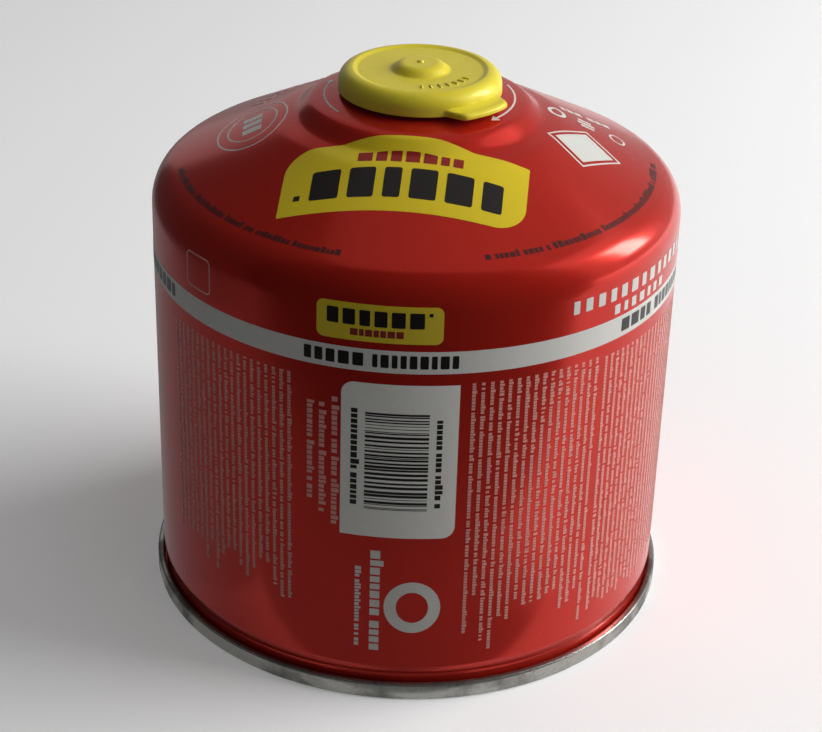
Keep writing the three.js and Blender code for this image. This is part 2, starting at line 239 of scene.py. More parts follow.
# Soft boxes: the direction they stand in (az, height angle), distance and size in metres, and their power
softBoxes = {
    "side": dict(az=97, up=28, away=1.1, wide=0.9, high=0.8, power=15.8),
    "overhead": dict(az=70, up=66, away=1.2, wide=1.0, high=0.8, power=1.9),
}


def aimed(az, up, away, height=0.055):
    a, u = math.radians(az), math.radians(up)
    back = Matrix.Rotation(a, 4, "Z") @ Matrix.Rotation(math.radians(90) - u, 4, "X")
    out = back @ Matrix.Translation((0, 0, away))
    return Matrix.Translation((0, 0, height)) @ out


for name, box in softBoxes.items():
    lamp = bpy.data.lights.new(name, "AREA")
    lamp.shape = "RECTANGLE"
    lamp.size = box["wide"]
    lamp.size_y = box["high"]
    lamp.energy = box["power"]
    lampPiece = bpy.data.objects.new(name, lamp)
    lampPiece.matrix_world = aimed(box["az"], box["up"], box["away"])
    lampPiece.visible_glossy = False
    bpy.context.scene.collection.objects.link(lampPiece)

# Room: dim for the light that it gives, pale where the camera, metal or glass looks at it
room = dict(fill=0.08, pale=0.97, floorColour=0.88, floorBounce=0.35, floorGlow=0.17, floorSize=6.0)


# 1 for camera, glossy and transmission rays, 0 for the rest
def seenRays(tree):
    sockets = Wire(tree).node("ShaderNodeLightPath").socket.node.outputs
    kinds = ("Is Camera Ray", "Is Glossy Ray", "Is Transmission Ray")
    camera, glossy, through = (Wire(tree, sockets[kind]) for kind in kinds)
    return camera + glossy + through


def grey(level):
    return colour(level, level, level)


world = bpy.data.worlds.new("room")
bpy.context.scene.world = world
world.use_nodes = True
shade = seenRays(world.node_tree).blend(grey(room["fill"]), grey(room["pale"]))
world.node_tree.links.new(shade.socket, world.node_tree.nodes["Background"].inputs["Color"])


def floorFinish(coords):
    seen = seenRays(coords.tree)
    grain = coords.noise(3.0, 3)
    tone = grain.blend(grey(room["floorColour"] - 0.01), grey(room["floorColour"]))
    return {
        "Base Color": seen.blend(grey(room["floorBounce"]), tone),
        "Emission Color": seen.blend(grey(0.0), grey(room["floorGlow"])),
        "Normal": grain.bump(0.02, 0.2),
    }


def plane(name, corners, finish):
    mesh = bpy.data.meshes.new(name)
    mesh.from_pydata(corners, [], [(0, 1, 2, 3)])
    mesh.materials.append(finish)
    made = bpy.data.objects.new(name, mesh)
    bpy.context.scene.collection.objects.link(made)
    made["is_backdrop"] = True
    return made


floorMaterial = material(
    "paleFloor", {"Roughness": 0.85, "Specular IOR Level": 0.1, "Emission Strength": 1.0}, floorFinish)
half = room["floorSize"] / 2
plane("floor", [(-half, -half, 0), (half, -half, 0), (half, half, 0), (-half, half, 0)], floorMaterial)

# Studio cards that only the gloss sees: lowest and highest corner in metres, the tones at the left and
# the right end of a span of x, and the tone at the foot
cards = {
    "frontCard": dict(
        low=(-0.50, -0.095, 0.0), high=(0.30, -0.095, 0.7), tones=(0.02, 0.30), span=(0.08, 0.28), foot=0.20),
    # Painted shade on the floor in front: a sheet seen only in gloss, dark at the left where the can's shadow
    # lies, and brighter than the floor at its right end, a painted reflection of lit floor
    "frontFloorShadeAndReflection": dict(
        low=(-0.50, -0.60, 0.0005), high=(0.25, -0.057, 0.0005), tones=(0.22, 1.15), span=(0.035, 0.08),
        foot=0.2),
    "leftCard": dict(low=(-0.20, -0.095, 0.0), high=(-0.20, 0.3, 0.7), tones=(0.06, 0.06), foot=0.12),
    # Painted shade on the floor at the left: a dark sheet seen only in gloss, standing for the shadowed floor
    "leftFloorShade": dict(low=(-1.5, -0.055, 0.0005), high=(-0.058, 1.4, 0.0005), tones=(0.23, 0.23), foot=0.3),
    "backCard": dict(
        low=(-1.5, 1.5, 0.0), high=(2.0, 1.5, 1.8), tones=(0.42, 0.42), span=(-0.3, 0.6), foot=0.4),
    "topCard": dict(
        low=(-0.60, -1.0, 0.9), high=(0.60, 1.0, 0.9), tones=(0.26, 0.34), span=(-0.4, 0.4), foot=0.26),
    "rightCard": dict(low=(2.0, -1.0, 0.0), high=(2.0, 1.5, 1.6), tones=(0.7, 0.7), foot=0.7),
    "windowCard": dict(low=(1.4, 0.18, 0.34), high=(1.4, 0.58, 1.10), tones=(18.0, 18.0), foot=1.0),
    "streakCard": dict(low=(0.8, -0.95, 0.72), high=(0.8, -0.35, 0.90), tones=(1.1, 1.1), foot=1.0),
}


# A card's tone goes over from left to right, and near the floor it is that of its foot
def cardFinish(tones, span, foot):
    def finish(coords):
        across = coords.node("ShaderNodeSeparateXYZ", {}, {0: coords})
        height = Wire(coords.tree, across.socket.node.outputs[2])
        tone = across.ramp(*span).blend(grey(tones[0]), grey(tones[1]))
        flat = height.ramp(0.0005, 0.0010)
        return {"Emission Color": (flat * (1 - height.ramp(0.0, 0.05))).blend(tone, grey(foot))}
    return finish


for name, card in cards.items():
    low, high = np.array(card["low"]), np.array(card["high"])
    flat = int(np.argmin(high - low))
    first, second = [k for k in range(3) if k != flat]
    corners = np.stack([low, low, high, high])
    corners[1, first] = high[first]
    corners[3, first] = low[first]
    dull = {"Base Color": colour(0, 0, 0), "Specular IOR Level": 0.0, "Emission Strength": 1.0}
    finish = cardFinish(card["tones"], card.get("span", (-1.0, 1.0)), card["foot"])
    made = plane(name, corners.tolist(), material(name, dull, finish))
    for rays in ("camera", "diffuse", "shadow", "transmission", "volume_scatter"):
        setattr(made, "visible_" + rays, False)

print("finishes")


# Red lacquer over tinplate: half of the red is the metal's own shine seen through it
def enamelFinish(coords):
    cloud = coords.noise(16.0, 3, seed=1.0)
    peel = coords.noise(1.1, 2, seed=2.0)
    speck = coords.noise(0.35, 1, seed=3.0).ramp(0.72, 0.80)
    tone = cloud.blend(colour(0.56, 0.020, 0.011), colour(0.62, 0.026, 0.014))
    return {
        "Base Color": (speck * 0.35).blend(tone, colour(0.22, 0.010, 0.006)),
        "Roughness": cloud * 0.06 + 0.16 + speck * 0.2,
        "Normal": (peel + cloud * 3.0).bump(0.02, 0.22),
    }


lacquer = {"Metallic": 0.5, "Specular IOR Level": 0.3, "Coat Weight": 0.10, "Coat Roughness": 0.08}
enamel = material("redEnamel", lacquer, enamelFinish)


# Printing ink: solid colour with the faint mottle of a roller, a little of the ground showing through
def ink(name, tint, ground=(0.40, 0.02, 0.015), cover=0.95, roughness=0.28):
    def finish(coords):
        mottle = coords.noise(0.9, 3, 0.6, seed=5.0)
        thin = mottle.ramp(0.35, 0.65, 1 - cover, 0.0)
        dots = coords.noise(0.22, 1, seed=6.0)
        return {
            "Base Color": thin.blend(colour(*tint), colour(*ground)),
            "Roughness": mottle * 0.08 + roughness,
            "Normal": (dots + mottle).bump(0.008, 0.25),
        }
    return material(name, {"Coat Weight": 0.12, "Coat Roughness": 0.1, "Specular IOR Level": 0.35}, finish)


whiteInk = ink("whiteInk", (0.68, 0.68, 0.64), cover=0.97)
greyInk = ink("greyInk", (0.82, 0.82, 0.76), cover=0.97)
yellowInk = ink("yellowInk", (0.72, 0.55, 0.010), cover=0.97)
darkInk = ink("darkInk", (0.010, 0.009, 0.008), cover=0.99)
maroonInk = ink("maroonInk", (0.26, 0.012, 0.008), cover=0.97)
shadowInk = ink("shadowInk", (0.045, 0.006, 0.006), cover=0.92)
paleInk = ink("paleInk", (0.74, 0.34, 0.29), cover=0.85)


# Rolled tinplate: fine streaks that run round the axis, clouded by handling. smudgeAndShade sets how much of
# the steel the dark clouds cover: a little is handling, and the seam's high value is painted shade.
def steelFinish(tint, streak, smudgeAndShade):
    def finish(coords):
        parts = coords.node("ShaderNodeSeparateXYZ", {}, {0: coords})
        x, y = parts, Wire(coords.tree, parts.socket.node.outputs[1])
        z = Wire(coords.tree, parts.socket.node.outputs[2])
        radius = coords.maths("SQRT", x * x + y * y)
        lengthwise = coords.node(
            "ShaderNodeCombineXYZ", {}, {0: radius * 12, 1: z * 12, 2: x * 0.4 + y * 0.3})
        streaks = lengthwise.noise(streak, 3, 0.6, seed=7.0)
        clouds = coords.noise(9.0, 4, 0.6, seed=8.0)
        spots = coords.noise(1.6, 3, 0.55, seed=9.0).ramp(0.60, 0.72)
        # Dark clouds and spots: handling marks, and on the seam painted shade as well
        dull = clouds.ramp(0.42, 0.66) * smudgeAndShade
        clean = streaks.blend(colour(*[c * 0.86 for c in tint]), colour(*tint))
        return {
            "Base Color": (dull + spots * 0.3 * smudgeAndShade).blend(clean, colour(*[c * 0.30 for c in tint])),
            "Roughness": streaks * 0.12 + dull * 0.22 + 0.20,
            "Normal": (streaks * 0.6 + clouds * 0.5).bump(0.03, 0.25),
        }
    return finish


# Seam steel: its dark tint and heavy clouding are painted shade for the shadowed floor that the seam
# reflects; the valve's tinplate is the same metal left bright
seamSteelShaded = material("tinnedSeamPaintedShade", {"Metallic": 0.9}, steelFinish((0.43, 0.43, 0.40), 1.6, 0.9))
valveMaterial = material("tinnedValve", {"Metallic": 1.0}, steelFinish((0.66, 0.66, 0.63), 1.2, 0.35))


# Drawn wire: streaks along the wire read at a fine scale
def wireFinish(coords):
    scratch = coords.noise(0.12, 3, seed=11.0)
    return {
        "Base Color": scratch.blend(colour(0.34, 0.35, 0.36), colour(0.50, 0.51, 0.52)),
        "Roughness": scratch * 0.2 + 0.22,
        "Normal": scratch.bump(0.01, 0.3),
    }


# Moulded plastic or rubber: slow clouds in the colour, a fine moulded grain in the gloss
def mouldedFinish(low, high, gloss, grainSize, depth):
    def finish(coords):
        cloud = coords.noise(5.0, 3, seed=12.0)
        grain = coords.noise(grainSize, 2, seed=13.0)
        return {
            "Base Color": cloud.blend(colour(*low), colour(*high)),
            "Roughness": grain * 0.12 + gloss,
            "Normal": (grain + cloud * 1.5).bump(depth, 0.3),
        }
    return finish


wireMaterial = material("drawnWire", {"Metallic": 1.0}, wireFinish)
rubberMaterial = material("sealRubber", {}, mouldedFinish((0.010,) * 3, (0.017,) * 3, 0.62, 0.25, 0.02))
housingMaterial = material(
    "housingPlastic", {}, mouldedFinish((0.70, 0.69, 0.63), (0.77, 0.76, 0.71), 0.42, 0.3, 0.01))
stemMaterial = material(
    "stemPlastic", {}, mouldedFinish((0.81, 0.80, 0.75), (0.87, 0.86, 0.82), 0.38, 0.3, 0.01))

print("shell")

shellForm = dict(
    wallRadius=54.0, shoulderHeight=91.4, shoulderBend=8.0, domeSlope=26.0,
    domeFlatRadius=28.5, domeEase=12.0, footRadius=24.7, footSlope=17.5, footBend=1.6,
    collarRadius=21.8, collarRise=2.7, collarBend=2.6, collarSlope=11.0,
    curlMiddle=13.55, curlRadius=1.35, curlRise=2.32, curlGap=0.1,
    neckRadius=53.6, neckHeight=5.2, plate=0.3, gap=0.3, hemBottom=0.6, hookTop=2.7,
    panelRadius=50.6, panelEnd=49.3, panelBottom=4.2, panelRise=10.5,
    chuckHeight=4.8, chuckLean=0.5, chuckBend=0.9,
    pocketRadius=14.2, pocketEdge=3.5, pocketFloor=9.8, pocketCone=3.0, pocketHole=7.15, gasSpace=13.2,
    hemBend=0.3, neckBend=2.0, skinFoot=12.0, mouthTurn=-30.0, panelSteps=40,
    facets=288, step=0.9, skinStep=0.4, ripple=0.05, rippleAt=88.0, rippleWidth=9.0,
)


def rise(angle, run):
    return math.tan(math.radians(angle)) * run


# Heights of the dome's easing, of the collar's foot and edge, and of the rolled mouth's foot
def collarHeights(form):
    eased = form["shoulderHeight"] + rise(form["domeSlope"], form["wallRadius"] - form["domeFlatRadius"])
    foot = eased + rise(form["footSlope"], form["domeFlatRadius"] - form["footRadius"])
    edge = foot + form["collarRise"]
    collarRun = form["collarRadius"] - form["curlMiddle"] - form["curlRadius"]
    return eased, foot, edge, edge + rise(form["collarSlope"], collarRun)


# The valve and the cap are placed from the top of the rolled mouth
easedHeight, footHeight, edgeHeight, curlFootHeight = collarHeights(shellForm)
curlTop = curlFootHeight + shellForm["curlRise"]


# Corners of the visible skin, from the foot of the wall to the foot of the rolled mouth
def skinCorners(form):
    return [
        (form["wallRadius"], 0), (form["wallRadius"], form["shoulderHeight"], form["shoulderBend"]),
        (form["domeFlatRadius"], easedHeight, form["domeEase"]),
        (form["footRadius"], footHeight, form["footBend"]),
        (form["collarRadius"], edgeHeight, form["collarBend"]),
        (form["curlMiddle"] + form["curlRadius"] + form["curlGap"], curlFootHeight),
    ]


# Path of the skin by its length s, which is the height z while it follows the wall
skinPath = spaced(bentOutline(skinCorners(shellForm), 16), shellForm["skinStep"])
skinLegs = np.linalg.norm(np.diff(skinPath, axis=0), axis=1)
skinLength = np.concatenate([[0], np.cumsum(skinLegs)])
skinTangent = np.gradient(skinPath, skinLength, axis=0)
skinTangent /= np.linalg.norm(skinTangent, axis=1, keepdims=True)


# Ripple of the drawn sheet: three slow waves round the can, strongest on the shoulder, never outward
def ripple(s, az):
    t = np.radians(az)
    near = np.exp(-((s - shellForm["rippleAt"]) / shellForm["rippleWidth"]) ** 2)
    wave = np.sin(7 * t + 0.7) + np.sin(11 * t + 0.16 * s) + np.sin(4 * t - 0.23 * s + 1.9)
    return shellForm["ripple"] * near * (wave / 3 - 1)


# A point of the skin: the path's r and z pushed out along its normal by lift, then turned by az
def skinAt(s, az, lift):
    s, az, lift = np.broadcast_arrays(s, az, lift)
    r, z = (np.interp(s, skinLength, skinPath[:, k]) for k in (0, 1))
    dr, dz = (np.interp(s, skinLength, skinTangent[:, k]) for k in (0, 1))
    push = lift + ripple(s, az)
    r, z, t = r + dz * push, z - dr * push, np.radians(az)
    return np.stack([r * np.sin(t), -r * np.cos(t), z], axis=-1)


# Length s at which the dome has a given radius
def lengthAt(radius):
    return np.interp(-np.asarray(radius, float), -skinPath[1:, 0], skinLength[1:])


# A point of the dome over the plan place (x to the right, y to the front)
def domeAt(x, y, lift):
    return skinAt(lengthAt(np.hypot(x, y)), np.degrees(np.arctan2(x, y)), lift)


# The pressed-in base panel is a cap of a sphere
def panelHeight(r, lift):
    width, height = shellForm["panelRadius"], shellForm["panelRise"]
    sphere = (width ** 2 + height ** 2) / (2 * height)
    drop = sphere - np.sqrt(sphere ** 2 - np.square(r))
    return shellForm["panelBottom"] + height - drop + lift


def makeShell(form):
    plate, gap = form["plate"], form["gap"]
    neck, hem = form["neckRadius"], form["hemBottom"]
    hookInner = neck + 2 * gap + plate
    chuckFoot = neck - 2 * plate - gap - form["chuckLean"]
    curlCentre = curlTop - form["curlRadius"]
    r = np.linspace(0, form["panelEnd"], form["panelSteps"])
    base = np.stack([r, panelHeight(r, plate + gap)], axis=1)
    hemLine = bentOutline([
        (chuckFoot + plate + gap, form["chuckHeight"] + gap),
        (neck - plate, form["chuckHeight"] - form["chuckBend"] - plate),
        (neck - plate, hem, form["hemBend"]), (hookInner + plate, hem, form["hemBend"]),
        (hookInner + plate, form["hookTop"]), (hookInner, form["hookTop"]),
        (hookInner, hem + plate), (neck, hem + plate), (neck, form["neckHeight"], form["neckBend"]),
        (form["wallRadius"], form["neckHeight"] + form["neckBend"], form["neckBend"]),
        (form["wallRadius"], form["skinFoot"]),
    ])
    s = np.arange(form["skinFoot"], skinLength[-1], form["step"])[1:]
    turn = np.radians(np.linspace(form["mouthTurn"], 180, 24))
    curl = np.stack([np.cos(turn), np.sin(turn)], axis=1) * form["curlRadius"]
    curl += [form["curlMiddle"], curlCentre]
    mouth = form["curlMiddle"] - form["curlRadius"]
    pocket = bentOutline([
        (mouth, curlCentre - form["curlRadius"]), (form["pocketRadius"], curlTop - form["pocketEdge"]),
        (form["pocketRadius"], curlTop - form["pocketFloor"] + form["pocketCone"]),
        (form["pocketHole"], curlTop - form["pocketFloor"]),
        (form["pocketHole"], curlTop - form["gasSpace"]), (0, curlTop - form["gasSpace"]),
    ])
    az = np.linspace(0, 360, form["facets"], endpoint=False)
    below = spaced(np.concatenate([base, hemLine]), form["step"])
    above = spaced(np.concatenate([curl, pocket]), form["step"])
    grid = np.concatenate([
        turnedGrid(below, form["facets"]),
        skinAt(s[:, None], az + 90, 0.0),
        turnedGrid(above, form["facets"]),
    ])
    return grid, gridFaces(len(grid), form["facets"])


shellPiece = makePiece("shell", makeShell(shellForm), enamel, "canister")
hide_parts("can_shell")

print("base end")

baseForm = dict(
    seamRadius=55.4, seamHeight=3.5, seamBend=0.55, hookInner=53.9, hookEnd=1.2, seamingWall=55.1,
    chuckOuter=53.0, chuckInner=52.7, chuckHeight=4.8, chuckLean=0.5, chuckBend=0.9,
    plate=0.3, facets=288, step=0.5,
)


def makeBase(form):
    plate = form["plate"]
    foot = form["chuckInner"] - form["chuckLean"]
    r = np.linspace(0, shellForm["panelEnd"], shellForm["panelSteps"])
    lower = np.stack([r, panelHeight(r, 0)], axis=1)
    upper = np.stack([r, panelHeight(r, plate)], axis=1)[::-1]
    fold = bentOutline([
        lower[-1], (foot, form["chuckHeight"] - plate, form["chuckBend"]),
        (form["chuckInner"], 0, form["seamBend"]), (form["seamRadius"], 0, form["seamBend"]),
        (form["seamRadius"], form["seamHeight"], form["seamBend"]),
        (form["hookInner"], form["seamHeight"], form["seamBend"]), (form["hookInner"], form["hookEnd"]),
        (form["hookInner"] + plate, form["hookEnd"]), (form["hookInner"] + plate, form["seamHeight"] - plate),
        (form["seamingWall"], form["seamHeight"] - plate), (form["seamingWall"], plate),
        (form["chuckOuter"], plate), (foot + plate, form["chuckHeight"], form["chuckBend"] + plate), upper[0],
    ])
    outline = np.concatenate([lower[:-1], spaced(fold, form["step"]), upper[1:]])
    return turnedGrid(outline, form["facets"]), gridFaces(len(outline), form["facets"])


basePiece = makePiece("base", makeBase(baseForm), seamSteelShaded, "canister")
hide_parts("base_end")

print("print on the shell")

sink = 0.02             # every film reaches this far into the layer below
fieldLift = 0.03        # panels and bands stand this far proud
markLift = 0.05         # marks on them stand a little prouder

draw = np.random.default_rng(41)
blockForm = dict(spread=(0.7, 1.3), corner=0.07)


# A film: its two grids are the same places at two lifts over the surface that locate gives
def film(locate, u, v, lift):
    u, v = np.broadcast_arrays(u, v)
    low = -sink if lift <= fieldLift else fieldLift - sink
    u, v = u.reshape(-1, *u.shape[-2:]), v.reshape(-1, *v.shape[-2:])
    points = np.stack([locate(u, v, lift), locate(u, v, low)], axis=1)
    each = slabFaces(*u.shape[-2:])
    start = np.arange(len(u))[:, None, None] * (2 * u.shape[-2] * u.shape[-1])
    return points, (each[None] + start).reshape(-1, 4)


# Films for boxes given by arrays of their low and high u and v
def boxes(locate, lowU, highU, lowV, highV, lift, rows=2, columns=2):
    across, along = np.linspace(0, 1, columns), np.linspace(0, 1, rows)[:, None]
    ends = (np.atleast_1d(k).astype(float)[:, None, None] for k in (lowU, highU, lowV, highV))
    lowU, highU, lowV, highV = ends
    u = lowU + (highU - lowU) * across + 0 * along
    v = lowV + (highV - lowV) * along + 0 * across
    return film(locate, u, v, lift)


# A panel with rounded corners: each row runs between side edges that draw in as quarter circles at its ends
def panelGrid(width, height, lowLeft, upLeft, upRight, lowRight, rows=60, columns=120):
    v = height / 2 * np.sin(np.linspace(-np.pi / 2, np.pi / 2, rows))

    def drawnIn(radius, side):
        over = np.clip(side * v - (height / 2 - radius), 0, radius)
        return radius - np.sqrt(radius ** 2 - over ** 2)

    left = -width / 2 + drawnIn(lowLeft, -1) + drawnIn(upLeft, 1)
    right = width / 2 - drawnIn(lowRight, -1) - drawnIn(upRight, 1)
    share = np.linspace(0, 1, columns)
    return left[:, None] + (right - left)[:, None] * share, v[:, None] + 0 * share


# A band closed round: four corners of its section at each step of t
def ringFilm(locate, inner, outer, lift):
    loops = [locate(*inner, lift), locate(*outer, lift), locate(*outer, -sink), locate(*inner, -sink)]
    return np.stack(loops), gridFaces(4, len(inner[0]), True, True)


# A strip along u whose half width changes with u
def stripFilm(locate, u, half, lift, columns=3):
    side = np.linspace(-1, 1, columns)
    return film(locate, u[:, None] + 0 * side, half[:, None] * side, lift)


# Letter blocks as shares of the print's height, and how often a word ends and how often a block is tall
letterForm = dict(
    width=(0.38, 0.72), pitch=0.55, gap=0.16, wordGap=0.55, wordEnds=0.15, tallOnes=0.22, low=0.74,
)


# Blocks that stand for a line of print: widths, gaps and heights drawn at random
def printRow(length, height, form=letterForm):
    count = int(length / (form["pitch"] * height)) + 1
    width = height * draw.uniform(*form["width"], count)
    gap = height * np.where(draw.random(count) < form["wordEnds"], form["wordGap"], form["gap"])
    tall = height * np.where(draw.random(count) < form["tallOnes"], 1.0, form["low"])
    start = np.cumsum(width + gap) - width - gap
    keep = start + width <= length
    return start[keep], (start + width)[keep], tall[keep]


def wallAt(az, z, lift):
    return skinAt(z, az, lift)


def degreesOf(length, radius=shellForm["wallRadius"]):
    return np.degrees(length / radius)


bandForm = dict(low=73.85, high=78.5, markLow=74.9, markHigh=77.6, steps=288)
round360 = np.linspace(0, 360, bandForm["steps"], endpoint=False)
bandLow = (round360, 0 * round360 + bandForm["low"])
bandHigh = (round360, 0 * round360 + bandForm["high"])
white = [ringFilm(wallAt, bandLow, bandHigh, fieldLift)]

# Yellow panels, one lying on the dome and one on the wall: plain rounded fields
domePanel = dict(x=-2.4, y=29.4, width=46.6, depth=16.5, corners=(0.3, 6.0, 0.3, 6.0), turn=5.0)
wallPanel = dict(az=-6.6, z=83.8, width=23.8, height=7.6, corners=(1.4, 1.4, 1.4, 1.4))


# Places given from the dome panel's middle, turned with it
def domePanelAt(u, v, lift):
    c, s = math.cos(math.radians(domePanel["turn"])), math.sin(math.radians(domePanel["turn"]))
    return domeAt(domePanel["x"] + u * c + v * s, domePanel["y"] + u * s - v * c, lift)


def wallPanelAt(u, v, lift):
    return wallAt(wallPanel["az"] + degreesOf(u), wallPanel["z"] + v, lift)


domeField = panelGrid(domePanel["width"], domePanel["depth"], *domePanel["corners"])
wallField = panelGrid(wallPanel["width"], wallPanel["height"], *wallPanel["corners"])
yellow = [film(domePanelAt, *domeField, fieldLift), film(wallPanelAt, *wallField, fieldLift)]


# A row of rounded upright blocks of random widths between a start and an end, from low to high
def blockRow(locate, start, end, low, high, count, gap):
    share = draw.uniform(*blockForm["spread"], count)
    width = (end - start - gap * (count - 1)) * share / share.sum()
    left = start + np.cumsum(width + gap) - width - gap
    corner = blockForm["corner"] * (high - low)
    films = []
    for a, w in zip(left, width):
        u, v = panelGrid(w, high - low, corner, corner, corner, corner, rows=14, columns=10)
        films.append(film(locate, u + a + w / 2, v + (low + high) / 2, markLift))
    return together(*films)


dark = [
    blockRow(domePanelAt, start=-17.6, end=18.8, low=-5.2, high=1.6, count=6, gap=1.7),
    boxes(domePanelAt, lowU=-20.6, highU=-19.4, lowV=-4.8, highV=-3.6, lift=markLift, rows=4, columns=4),
    blockRow(wallPanelAt, start=-9.9, end=8.4, low=-0.6, high=2.6, count=6, gap=0.8),
    boxes(wallPanelAt, lowU=9.2, highU=9.9, lowV=1.9, highV=2.6, lift=markLift),
]
bandRows = [
    dict(start=-21.9, end=-9.6, count=5, gap=0.7), dict(start=-7.8, end=9.3, count=9, gap=0.6),
    dict(start=47.8, end=59.0, count=4, gap=0.7), dict(start=61.0, end=80.0, count=9, gap=0.6),
    dict(start=-84.0, end=-60.0, count=9, gap=0.7),
]
for row in bandRows:
    dark.append(blockRow(wallAt, low=bandForm["markLow"], high=bandForm["markHigh"], **row))
maroon = [
    blockRow(domePanelAt, start=-9.4, end=10.8, low=3.2, high=5.6, count=7, gap=0.7),
    blockRow(wallPanelAt, start=-5.4, end=4.6, low=-2.7, high=-1.3, count=7, gap=0.25),
]

# Code panel: bars of random thickness that run round the wall, stacked up it
codePanel = dict(
    az=-2.1, z=54.55, width=22.4, height=33.7, corners=(0, 2.6, 0, 2.6),
    barAz=(-9.0, 3.9), barZ=(44.0, 65.8), bars=30,
)


def codePanelAt(u, v, lift):
    return wallAt(codePanel["az"] + degreesOf(u), codePanel["z"] + v, lift)


codeField = panelGrid(codePanel["width"], codePanel["height"], *codePanel["corners"])
codeFields = [film(codePanelAt, *codeField, fieldLift)]
steps = draw.integers(1, 5, 2 * codePanel["bars"]).astype(float)
edges = np.concatenate([[0], np.cumsum(steps)]) / steps.sum()
edges = codePanel["barZ"][0] + edges * (codePanel["barZ"][1] - codePanel["barZ"][0])
dark.append(boxes(wallAt, *codePanel["barAz"], edges[0:-1:2], edges[1::2], markLift, columns=12))


# Vertical lines of print: each row starts at a height and runs down, letter blocks standing across it
def verticalRows(places, height, top, lengths):
    films = []
    for az, length in zip(places, lengths):
        start, end, tall = printRow(length, height)
        films.append(boxes(wallAt, az, az + degreesOf(tall), top - end, top - start, markLift))
    return together(*films)


dark.append(verticalRows([-11.9], height=1.7, top=65.8, lengths=[21.5]))
dark.append(verticalRows([5.4], height=1.5, top=64.0, lengths=[20.0]))

# Fields of small print: the az of the first and last row, the top, and the shortest and longest row
smallPrint = dict(
    left=dict(az=(-25.6, -60.0), rows=20, top=71.0, length=(44.0, 53.0)),
    right=dict(az=(12.2, 40.6), rows=16, top=71.6, length=(46.0, 66.0)),
    far=dict(az=(43.4, 80.0), rows=22, top=71.0, length=(56.0, 61.0)),
)
pale = []
for block in smallPrint.values():
    lengths = draw.uniform(*block["length"], block["rows"])
    pale.append(verticalRows(np.linspace(*block["az"], block["rows"]), 0.92, block["top"], lengths))
pale.append(verticalRows([-15.9], height=1.5, top=67.6, lengths=[28.8]))
pale.append(verticalRows([-18.6, -21.2], height=1.5, top=66.0, lengths=[25.4, 21.7]))


# An ellipse traced twice, at its size and drawn in by the line
def ovalLoops(along, across, line, steps=120):
    t = np.linspace(0, 2 * np.pi, steps, endpoint=False)
    return [((along - k) * np.cos(t), (across - k) * np.sin(t)) for k in (line, 0)]


# Lower mark: a plain ring, with two lines of blocks beside it
lowerMark = dict(az=1.5, z=21.5, along=5.6, across=6.0, line=2.4)


def lowerMarkAt(u, v, lift):
    return wallAt(lowerMark["az"] + degreesOf(u), lowerMark["z"] + v, lift)


lowerRing = ovalLoops(lowerMark["along"], lowerMark["across"], lowerMark["line"])
white.append(ringFilm(lowerMarkAt, *lowerRing, fieldLift))
white.append(verticalRows([-7.4], height=2.6, top=34.5, lengths=[24.5]))
white.append(verticalRows([-10.6], height=1.2, top=30.5, lengths=[19.0]))

# Two lines of large blocks on the right, below the shoulder
white.append(blockRow(wallAt, start=33.7, end=80.0, low=82.4, high=85.1, count=14, gap=1.6))
white.append(blockRow(wallAt, start=45.2, end=64.1, low=79.3, high=81.3, count=7, gap=1.4))


# Outline of a rounded rectangle: two loops, the inner one drawn in by the line's width
def frameLoops(width, height, corner, line, steps=160):
    quarter = np.concatenate([np.linspace(0, 90, 8) + 90 * k for k in range(4)])
    side = np.repeat([[1, 1], [-1, 1], [-1, -1], [1, -1]], 8, axis=0)
    middle = side * [width / 2 - corner, height / 2 - corner]
    around = np.stack([np.cos(np.radians(quarter)), np.sin(np.radians(quarter))], axis=1)
    loops = []
    for radius in (corner - line, corner):
        path = middle + around * radius
        path = np.concatenate([path, path[:1]])
        at = np.linspace(0, len(path) - 1, steps, endpoint=False)
        loops.append(tuple(np.interp(at, np.arange(len(path)), path[:, k]) for k in (0, 1)))
    return loops


leftFrame = dict(az=-50.0, z=84.1, width=7.8, height=7.4, corner=1.2, line=0.36)


def leftFrameAt(u, v, lift):
    return wallAt(leftFrame["az"] + degreesOf(u), leftFrame["z"] + v, lift)


frameSizes = [leftFrame[k] for k in ("width", "height", "corner", "line")]
pale.append(ringFilm(leftFrameAt, *frameLoops(*frameSizes), fieldLift))

# Marks on the dome, placed by radius and az: an oval ring, a rhombus, small shapes, a ring of small print
domeMarks = dict(
    ringAz=-88.0, ringRadius=33.5, ringAlong=10.2, ringAcross=7.2, ringLine=0.32,
    rhombus=((70.7, 26.8), (90.3, 33.8), (79.7, 41.2), (64.0, 35.9)), rhombusLine=0.075, rhombusField=0.78,
)


# Places round a dome mark's middle: u along the turn, v outwards
def markAt(az, radius):
    def locate(u, v, lift):
        t = math.radians(az)
        x = radius * math.sin(t) + u * math.cos(t) + v * math.sin(t)
        y = radius * math.cos(t) - u * math.sin(t) + v * math.cos(t)
        return domeAt(x, y, lift)
    return locate


ringMark = markAt(domeMarks["ringAz"], domeMarks["ringRadius"])
for shrink in (0.0, 3.0):
    along, across = domeMarks["ringAlong"] - shrink, domeMarks["ringAcross"] - 0.7 * shrink
    white.append(ringFilm(ringMark, *ovalLoops(along, across, domeMarks["ringLine"]), fieldLift))
white.append(boxes(ringMark, [-4.0, -1.0, 2.0], [-1.8, 1.2, 4.2], -1.9, 1.9, fieldLift))

cornerTurn, cornerRadius = np.array(domeMarks["rhombus"], float).T
cornerTurn = np.radians(cornerTurn)
rhombus = np.stack([cornerRadius * np.sin(cornerTurn), cornerRadius * np.cos(cornerTurn)], 1)
rhombusMiddle = rhombus.mean(axis=0)


